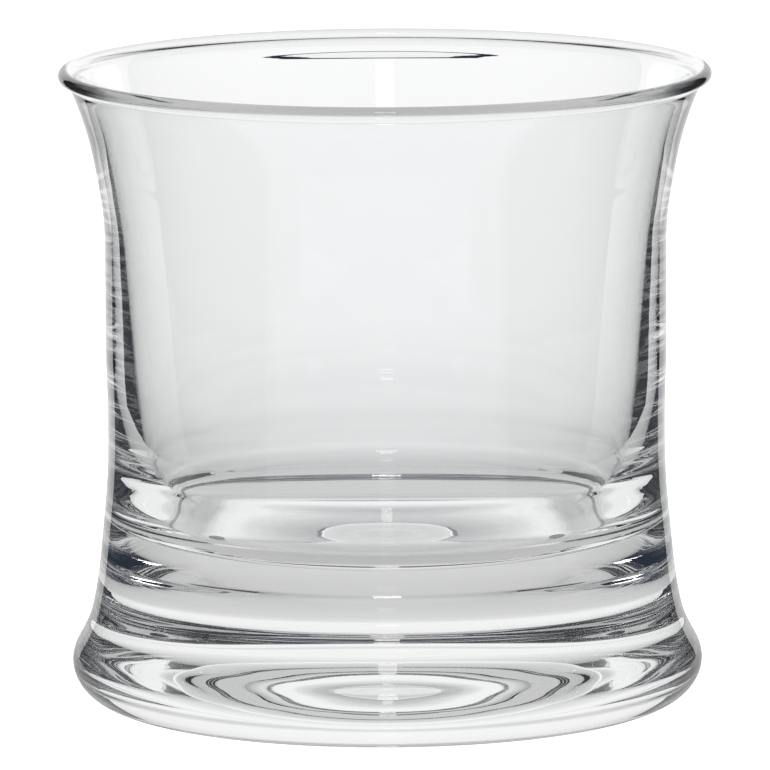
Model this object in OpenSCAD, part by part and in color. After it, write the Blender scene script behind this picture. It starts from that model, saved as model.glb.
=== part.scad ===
// Flared whiskey tumbler of clear glass: one solid of revolution with a heavy base,
// a bowl with a shallow dished floor, a beaded lip and a domed hollow under the foot.
// Millimetres, +Z up, origin on the axis in the plane that the foot stands on.

/* [Outside] */
// Overall height, from the foot to the top of the lip
height = 90; // [86:0.5:96]
// Diameter over the beaded lip
lip_d = 91.7; // [90:0.1:95]
// Diameter at the waist, the narrowest part of the wall
waist_d = 78.5; // [77:0.1:80]
// Diameter at the widest part of the heel
heel_d = 88.9; // [87:0.1:92]
// Height of the widest part of the heel over the foot
heel_z = 6.1; // [5:0.1:7]
// How far the heel's rounding reaches in from its widest part
heel_in = 7; // [6:0.1:7.5]

/* [Bowl] */
// Diameter of the bead that finishes the lip
bead_d = 1.9; // [1.7:0.05:2.2]
// Wall thickness just under the lip
wall_lip = 1.7; // [1.5:0.1:2]
// Wall thickness where the flare begins
wall_top = 2.3; // [2:0.1:2.8]
// Wall thickness at the waist
wall_waist = 4.1; // [3.4:0.1:4.8]
// Height of the middle of the bowl's floor over the foot's plane
base_t = 20.5; // [19:0.5:23]
// Radius of the shallow dish that forms the bowl's floor
floor_dish = 120; // [100:5:200]
// Diameter of the bowl where its wall turns into the floor
floor_d = 66.2; // [64:0.2:68]
// Radius that rounds the wall into the floor
floor_round = 4; // [3:0.5:6]

/* [Underside] */
// Diameter of the ring that the glass stands on
foot_d = 70; // [68:0.5:72]
// Width of the flat ground on that ring
foot_flat = 1.2; // [0.6:0.1:2]
// Diameter of the dome under the base
punt_d = 60; // [54:1:62]
// Steepest slope of the dome, in degrees
punt_slope = 20; // [14:1:24]

/* [Hidden] */

glass = [0.86, 0.9, 0.91, 0.45];
curve_steps = 3; // chords between two stations of a smooth line
arc_step = 12;   // degrees between two points of an arc
heel_start = 10; // where the heel's rounding takes over from the foot, in degrees

bead_r = bead_d / 2;
waist_r = waist_d / 2;
waist_z = 0.45 * height;
shoulder_z = 0.73 * height;
heel_r = heel_d / 2;
heel_out = heel_r - waist_r;
bead_centre = [lip_d / 2 - bead_r, height - bead_r];
lip_out = bead_centre.x - waist_r;
floor_r = floor_d / 2;
foot_r = foot_d / 2;
punt_r = punt_d / 2;
punt_ball_r = punt_r / sin(punt_slope);
ring_in_r = (foot_r - 0.5 * foot_flat - punt_r) / sin(punt_slope);
punt_h = (ring_in_r + punt_ball_r) * (1 - cos(punt_slope));

// The wall's thickness at a height
function wall_at(z) =
    lookup(z, [[waist_z, wall_waist], [shoulder_z, wall_top], [height, wall_lip]]);

// Points of an arc about a centre, both ends included; reach is its radius in x and z
function arc(centre, reach, from, to, step = arc_step) =
    let (n = ceil(abs(to - from) / step))
    [for (i = [0:n]) let (a = from + (to - from) * i / n)
        centre + [reach.x * cos(a), reach.y * sin(a)]];

// A point of the smooth line between b and c, which a and d only steer
function between(a, b, c, d, t) =
    0.5 * (2 * b + (c - a) * t + (2 * a - 5 * b + 4 * c - d) * t * t
        + (3 * b - a - 3 * c + d) * t * t * t);

// Points of the smooth line from the second station to the last but one
function smooth_line(stations) =
    [for (i = [1:len(stations) - 3], k = [0:curve_steps - 1])
        between(stations[i - 1], stations[i], stations[i + 1], stations[i + 2],
            k / curve_steps)];

// Outer stations from the widest part of the heel up to the underside of the bead
outer = [
    [heel_r, heel_z],
    [waist_r + 0.92 * heel_out, heel_z + 2],
    [waist_r + 0.72 * heel_out, heel_z + 4],
    [waist_r + 0.54 * heel_out, heel_z + 6],
    [waist_r + 0.43 * heel_out, heel_z + 8],
    [waist_r + 0.29 * heel_out, heel_z + 12],
    [waist_r + 0.165 * heel_out, heel_z + 18],
    [waist_r + 0.03 * heel_out, 0.357 * height],
    [waist_r, waist_z],
    [waist_r + 0.04 * lip_out, 0.56 * height],
    [waist_r + 0.04 * lip_out, 0.67 * height],
    [waist_r + 0.06 * lip_out, 0.757 * height],
    [waist_r + 0.2 * lip_out, 0.822 * height],
    [waist_r + 0.42 * lip_out, 0.889 * height],
    [waist_r + 0.7 * lip_out, 0.944 * height],
    [bead_centre.x - 0.3 * bead_r, height - 1.9 * bead_r]
];
waist_station = 8;
last_outer = len(outer) - 1;

// Inner stations from the lip down to the waist, set in from the outer ones by the wall
inner_wall = [for (i = [last_outer:-1:waist_station]) outer[i] - [wall_at(outer[i].y), 0]];

// From the waist the bowl draws in towards the edge of its floor
dish_reach = floor_dish - floor_round;
corner_z = base_t + floor_dish - sqrt(dish_reach * dish_reach - pow(floor_r - floor_round, 2));
draw_in = waist_r - wall_waist - floor_r;
inner_foot = [
    [floor_r + 0.66 * draw_in, corner_z + 0.52 * (waist_z - corner_z)],
    [floor_r + 0.34 * draw_in, corner_z + 0.3 * (waist_z - corner_z)]
];
floor_centre = [floor_r - floor_round, corner_z];
floor_reach = [floor_round, floor_round];
dish_turn = asin((floor_r - floor_round) / dish_reach);

heel_centre = [heel_r - heel_in, heel_z];
heel_reach = [heel_in, heel_z - 0.1];

bead_reach = [bead_r, bead_r];
bead_top_in = bead_centre + bead_r * [cos(140), sin(140)];

// Half of the section, from the underside's centre round to the middle of the floor
section = concat(
    arc([0, punt_h - punt_ball_r], [punt_ball_r, punt_ball_r], 90, 90 - punt_slope, 4),
    arc([foot_r - 0.5 * foot_flat, ring_in_r], [ring_in_r, ring_in_r],
        -90 - 0.5 * punt_slope, -90, 20),
    [[foot_r + 0.5 * foot_flat, 0]],
    arc(heel_centre, heel_reach, -90 + heel_start, -arc_step),
    smooth_line(concat([outer[1] - [0, 4]], outer, [bead_centre])),
    arc(bead_centre, bead_reach, -60, 130, 30),
    smooth_line(concat([bead_centre], [bead_top_in], inner_wall, inner_foot,
        [floor_centre + [floor_round, 0], floor_centre + [floor_round, -floor_round]])),
    arc(floor_centre, floor_reach, 0, dish_turn - 90, 15),
    arc([0, base_t + floor_dish], [floor_dish, floor_dish], 0.75 * dish_turn - 90, -90, 3)
);

module tumbler() {
    color(glass)
        rotate_extrude($fn = 96)
            polygon(section);
}

tumbler();
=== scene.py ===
import math

import bpy
from mathutils import Matrix, Vector


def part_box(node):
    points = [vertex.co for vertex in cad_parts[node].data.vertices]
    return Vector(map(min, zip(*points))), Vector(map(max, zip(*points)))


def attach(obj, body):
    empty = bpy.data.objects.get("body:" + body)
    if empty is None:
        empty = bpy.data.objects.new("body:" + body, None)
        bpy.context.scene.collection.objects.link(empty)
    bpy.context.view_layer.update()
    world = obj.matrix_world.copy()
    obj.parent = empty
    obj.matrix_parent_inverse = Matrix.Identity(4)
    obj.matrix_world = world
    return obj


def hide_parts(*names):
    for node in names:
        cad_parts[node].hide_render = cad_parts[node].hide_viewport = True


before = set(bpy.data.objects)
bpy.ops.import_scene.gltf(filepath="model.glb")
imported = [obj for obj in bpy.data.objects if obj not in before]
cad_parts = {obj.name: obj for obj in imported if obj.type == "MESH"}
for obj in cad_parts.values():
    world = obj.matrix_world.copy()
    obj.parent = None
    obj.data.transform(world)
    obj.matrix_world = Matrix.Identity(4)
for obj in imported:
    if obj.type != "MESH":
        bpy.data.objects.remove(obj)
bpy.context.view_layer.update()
bpy.ops.object.select_all(action="DESELECT")


# The tumbler. The real piece is one gather of clear glass, blown into a turned mould and
# fire-polished at the lip, so the whole object is a single closed skin with a thick base.
# Here half of its section is drawn point by point and spun once round the axis.
glass_low, glass_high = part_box("tumbler")
MM = 0.001
height = glass_high.z - glass_low.z
foot_z = glass_low.z
bead_r = 0.95 * MM        # the fire-polished bead round the lip
waist_r = 39.25 * MM
waist_z = 0.45 * height
flare_z = 0.73 * height   # where the wall starts to open out to the lip
wall_waist = 4.1 * MM
wall_flare = 2.3 * MM
wall_lip = 1.7 * MM
heel_r = 44.45 * MM       # the bulge round the bottom
heel_z = 6.1 * MM
heel_in = 7 * MM
heel_start = 10           # degrees past straight down where the heel's curve begins
foot_r = 35 * MM          # the ring that the glass stands on
foot_flat = 1.2 * MM
punt_r = 30 * MM          # the domed hollow underneath
punt_slope = 20           # degrees, at its rim
base_t = 20.5 * MM        # glass under the middle of the bowl's floor
floor_dish = 120 * MM     # radius of the shallow ball that the floor is part of
floor_r = 33.1 * MM
floor_round = 4 * MM
bead_start = -60          # degrees round the bead, from outside to inside
bead_end = 140
CURVE = 6                 # points between two stations of a smooth line
ROUND = 240               # vertices round each ring of the spun skin


def arc(centre, reach, start, end, count):
    """Points of an arc about a centre, in degrees; reach is its radius in x and z."""
    turns = [math.radians(start + (end - start) * i / count) for i in range(count + 1)]
    return [Vector((centre[0] + reach[0] * math.cos(a), centre[1] + reach[1] * math.sin(a)))
            for a in turns]


def smooth_line(stations, count):
    """A smooth line through all stations but the first and last, which only steer it."""
    points = []
    for a, b, c, d in zip(stations, stations[1:], stations[2:], stations[3:]):
        for k in range(count):
            t = k / count
            points.append(0.5 * (2 * b + (c - a) * t + (2 * a - 5 * b + 4 * c - d) * t * t
                                 + (3 * b - a - 3 * c + d) * t ** 3))
    return points


def wall_at(z):
    """Thickness of the wall at a height: thick at the waist, thin at the lip."""
    marks = [(waist_z, wall_waist), (flare_z, wall_flare), (height, wall_lip)]
    for (z0, t0), (z1, t1) in zip(marks, marks[1:]):
        if z <= z1:
            return t0 + (t1 - t0) * max(0.0, z - z0) / (z1 - z0)
    return marks[-1][1]


bead = Vector((glass_high.x - bead_r, height - bead_r))
heel_out = heel_r - waist_r
lip_out = bead.x - waist_r
outer = [Vector(p) for p in (
    (heel_r, heel_z),
    (waist_r + 0.92 * heel_out, heel_z + 2 * MM),
    (waist_r + 0.72 * heel_out, heel_z + 4 * MM),
    (waist_r + 0.54 * heel_out, heel_z + 6 * MM),
    (waist_r + 0.43 * heel_out, heel_z + 8 * MM),
    (waist_r + 0.29 * heel_out, heel_z + 12 * MM),
    (waist_r + 0.165 * heel_out, heel_z + 18 * MM),
    (waist_r + 0.03 * heel_out, 0.357 * height),
    (waist_r, waist_z),
    (waist_r + 0.04 * lip_out, 0.56 * height),
    (waist_r + 0.04 * lip_out, 0.67 * height),
    (waist_r + 0.06 * lip_out, 0.757 * height),
    (waist_r + 0.2 * lip_out, 0.822 * height),
    (waist_r + 0.42 * lip_out, 0.889 * height),
    (waist_r + 0.7 * lip_out, 0.944 * height),
    (bead.x - 0.3 * bead_r, height - 1.9 * bead_r),
)]
waist_place = 8           # the waist's place in the list above
inner = [p - Vector((wall_at(p.y), 0)) for p in reversed(outer[waist_place:])]

# The bowl's floor, a shallow dish, and the rounded corner where the wall meets it.
dish_reach = floor_dish - floor_round
corner = Vector((floor_r - floor_round, 0))
corner.y = base_t + floor_dish - math.sqrt(dish_reach ** 2 - corner.x ** 2)
dish_turn = math.degrees(math.asin(corner.x / dish_reach))
draw_in = waist_r - wall_waist - floor_r
drop = waist_z - corner.y
inner += [Vector((floor_r + 0.66 * draw_in, corner.y + 0.52 * drop)),
          Vector((floor_r + 0.34 * draw_in, corner.y + 0.3 * drop))]

# The hollow is part of a ball, and a small curve of the same slope leads from it to the foot.
slope = math.radians(punt_slope)
ball = punt_r / math.sin(slope)
ring_in = (foot_r - foot_flat / 2 - punt_r) / math.sin(slope)
punt_h = (ball + ring_in) * (1 - math.cos(slope))
heel_tall = heel_z - 0.1 * MM   # the heel stays just clear of the table

# Half the section, from the middle of the underside, out round the heel and lip, to the floor.
section = arc((0, punt_h - ball), (ball, ball), 90, 90 - punt_slope, 24)
section += arc((foot_r - foot_flat / 2, ring_in), (ring_in, ring_in), -90 - punt_slope, -90, 10)[1:]
section += [Vector((foot_r + foot_flat / 2, 0))]
section += arc((heel_r - heel_in, heel_z), (heel_in, heel_tall), heel_start - 90, -5, 18)
section += smooth_line([outer[1] - Vector((0, 4 * MM))] + outer + [bead], CURVE)
section += arc(bead, (bead_r, bead_r), bead_start, bead_end, 16)
section += smooth_line([bead, section[-1]] + inner
                       + [corner + Vector((floor_round, 0)),
                          corner + Vector((floor_round, -floor_round))], CURVE)
section += arc(corner, (floor_round, floor_round), 0, dish_turn - 90, 14)
section += arc((0, base_t + floor_dish), (floor_dish, floor_dish), dish_turn - 90, -90, 16)[1:]

bpy.ops.mesh.primitive_plane_add(size=MM)
tumbler = bpy.context.object
tumbler.name = tumbler.data.name = "blown_tumbler"
bpy.ops.object.mode_set(mode="EDIT")
bpy.ops.mesh.merge(type="CENTER")
bpy.ops.transform.translate(value=(0, 0, foot_z + section[0].y))
for near, far in zip(section, section[1:]):
    step = far - near
    if step.length > 0.0001 * MM:
        bpy.ops.mesh.extrude_region_move(TRANSFORM_OT_translate={"value": (step.x, 0, step.y)})
bpy.ops.mesh.select_all(action="SELECT")
bpy.ops.mesh.spin(steps=ROUND, angle=math.tau, center=(0, 0, 0), axis=(0, 0, 1))
bpy.ops.mesh.select_all(action="SELECT")
bpy.ops.mesh.remove_doubles(threshold=0.002 * MM)
bpy.ops.mesh.normals_make_consistent(inside=False)
bpy.ops.mesh.faces_shade_smooth()
bpy.ops.object.mode_set(mode="OBJECT")

# Clear glass, with the faintest cool cast, and a slight ripple left by the turned mould.
clear = bpy.data.materials.new("clear_glass")
clear.use_nodes = True
nodes, links = clear.node_tree.nodes, clear.node_tree.links
skin = nodes["Principled BSDF"]
skin.inputs["Base Color"].default_value = (0.992, 0.996, 0.998, 1)
skin.inputs["Transmission Weight"].default_value = 1.0
skin.inputs["Roughness"].default_value = 0.0
skin.inputs["IOR"].default_value = 1.52
place = nodes.new("ShaderNodeTexCoord")
squash = nodes.new("ShaderNodeMapping")
squash.inputs["Scale"].default_value = (14, 14, 420)    # long round the glass, short up it
links.new(place.outputs["Object"], squash.inputs["Vector"])
marks = nodes.new("ShaderNodeTexNoise")
marks.inputs["Scale"].default_value = 1.0
marks.inputs["Detail"].default_value = 1.0
links.new(squash.outputs["Vector"], marks.inputs["Vector"])
swell = nodes.new("ShaderNodeBump")
swell.inputs["Strength"].default_value = 1.0
swell.inputs["Distance"].default_value = 0.005 * MM
links.new(marks.outputs["Fac"], swell.inputs["Height"])
links.new(swell.outputs["Normal"], skin.inputs["Normal"])
tumbler.data.materials.append(clear)
tumbler.visible_shadow = False
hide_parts("tumbler")
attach(tumbler, "root")


# The camera stands well back with a long lens, looks a little down into the bowl, and is
# turned a quarter of a degree on its own axis.
camera_far = 1.4785
look_down = math.radians(8.8)
camera_roll = math.radians(-0.268)
aim = Vector((-0.00018, 0, foot_z + 0.0448))
bpy.ops.object.camera_add()
camera = bpy.context.object
camera.data.lens = 490.9
camera.data.sensor_width = 36
back = Vector((0, -math.cos(look_down), math.sin(look_down)))
camera.location = aim + back * camera_far
camera.rotation_mode = "QUATERNION"
roll = Matrix.Rotation(camera_roll, 4, "Z").to_quaternion()
camera.rotation_quaternion = (-back).to_track_quat("-Z", "Y") @ roll
camera.data.clip_start = 0.01
camera.data.clip_end = 100
bpy.context.scene.camera = camera


# The floor: a plain white table that only the camera sees. The glass is lit by the screens
# below instead, and throws no shadow.
bpy.ops.mesh.primitive_plane_add(size=8, location=(0, 0, foot_z - 0.001))
floor = bpy.context.object
floor.name = "floor"
white = bpy.data.materials.new("white_table")
white.use_nodes = True
paper = white.node_tree.nodes["Principled BSDF"]
paper.inputs["Base Color"].default_value = (0.9, 0.9, 0.9, 1)
paper.inputs["Roughness"].default_value = 0.7
paper.inputs["Emission Color"].default_value = (1, 1, 1, 1)
paper.inputs["Emission Strength"].default_value = 1.0
floor.data.materials.append(white)
floor.visible_transmission = floor.visible_glossy = floor.visible_diffuse = False


# The turntable: an empty on the glass's axis that always faces the camera. The screens and
# cards hang on it, so that the light falls the same way on every side that is looked at.
bpy.ops.object.empty_add(location=(0, 0, foot_z))
turntable = bpy.context.object
turntable.name = "turntable"
follow = turntable.constraints.new("LOCKED_TRACK")
follow.target = camera
follow.track_axis = "TRACK_NEGATIVE_Y"
follow.lock_axis = "LOCK_Z"

# The table falls off from bright far back to grey by the glass, and the back screen upwards.
# Each pair is a place from one end of the screen to the other, and how light it is there.
greys = {"table_screen": [(0, 0.5), (0.13, 0.62), (0.2, 0.78), (0.27, 0.88), (0.4, 0.98), (1, 1.05)],
         "back_screen": [(0, 1.0), (0.12, 0.98), (0.2, 0.82), (0.35, 0.62), (0.54, 0.5), (1, 0.5)]}

# Each screen: name, middle, turn in degrees, width, depth, colour, brightness. Light screens
# stand behind the glass and lie under it. Dark cards on both sides draw the dark lines down its
# edges, and the window in front makes the bright streak down its middle.
for name, middle, turn, wide, deep, colour, strength in (
        ("back_screen", (0, 0.7, 1.3), (90, 0, 0), 2.0, 2.6, (1, 1, 1), 0.98),
        ("table_screen", (0, 0.325, -0.0006), (0, 0, 0), 1.2, 0.75, (1, 1, 1), 1.0),
        ("front_cloth", (0, -0.425, -0.0006), (0, 0, 0), 1.2, 0.75, (0.93, 0.96, 1), 0.45),
        ("left_card", (-0.095, 0, 0.1), (0, 90, 0), 0.2, 0.2, (0.85, 0.93, 1), 0.05),
        ("right_card", (0.095, 0, 0.1), (0, 90, 0), 0.2, 0.2, (0.85, 0.93, 1), 0.05),
        ("window", (0, -0.9, 0.6), (90, 0, 0), 0.12, 0.3, (1, 1, 1), 4.0)):
    bpy.ops.mesh.primitive_plane_add(size=1)
    screen = bpy.context.object
    screen.name = name
    screen.location = middle
    screen.rotation_euler = [math.radians(a) for a in turn]
    screen.scale = (wide, deep, 1)
    screen.parent = turntable
    glow = bpy.data.materials.new(name)
    glow.use_nodes = True
    lamp = glow.node_tree.nodes["Principled BSDF"]
    lamp.inputs["Base Color"].default_value = (0, 0, 0, 1)
    lamp.inputs["Roughness"].default_value = 1.0
    lamp.inputs["Specular IOR Level"].default_value = 0.0
    lamp.inputs["Emission Color"].default_value = (*colour, 1)
    lamp.inputs["Emission Strength"].default_value = strength
    screen.data.materials.append(glow)
    screen.visible_camera = False
    if name in greys:
        along = glow.node_tree.nodes.new("ShaderNodeTexCoord")
        split = glow.node_tree.nodes.new("ShaderNodeSeparateXYZ")
        shift = glow.node_tree.nodes.new("ShaderNodeMath")
        fall = glow.node_tree.nodes.new("ShaderNodeValToRGB")
        shift.operation = "ADD"
        shift.inputs[1].default_value = 0.5      # a screen runs from -0.5 to 0.5 about its middle
        for _ in greys[name][2:]:
            fall.color_ramp.elements.new(0.5)
        for stop, (at, grey) in zip(fall.color_ramp.elements, greys[name]):
            stop.position = at
            stop.color = (grey, grey, grey, 1)
        glow.node_tree.links.new(along.outputs["Object"], split.inputs["Vector"])
        glow.node_tree.links.new(split.outputs["Y"], shift.inputs[0])
        glow.node_tree.links.new(shift.outputs["Value"], fall.inputs["Fac"])
        glow.node_tree.links.new(fall.outputs["Color"], lamp.inputs["Emission Color"])

# The room: white to the camera, dim and a little blue to the glass.
world = bpy.data.worlds.new("studio")
bpy.context.scene.world = world
world.use_nodes = True
room_nodes, room_links = world.node_tree.nodes, world.node_tree.links
dim = room_nodes["Background"]
dim.inputs["Color"].default_value = (0.022, 0.028, 0.045, 1)
bright = room_nodes.new("ShaderNodeBackground")
bright.inputs["Color"].default_value = (1, 1, 1, 1)
choose = room_nodes.new("ShaderNodeMixShader")
path = room_nodes.new("ShaderNodeLightPath")
room_links.new(path.outputs["Is Camera Ray"], choose.inputs["Fac"])
room_links.new(dim.outputs["Background"], choose.inputs[1])
room_links.new(bright.outputs["Background"], choose.inputs[2])
room_links.new(choose.outputs["Shader"], room_nodes["World Output"].inputs["Surface"])

# Light bounces many times inside the glass. Cut short, it leaves dark patches in the lip, the
# heel and the wall.
bpy.context.scene.view_settings.view_transform = "Standard"
bpy.context.scene.cycles.max_bounces = 32
bpy.context.scene.cycles.transmission_bounces = 32
bpy.context.scene.cycles.glossy_bounces = 24
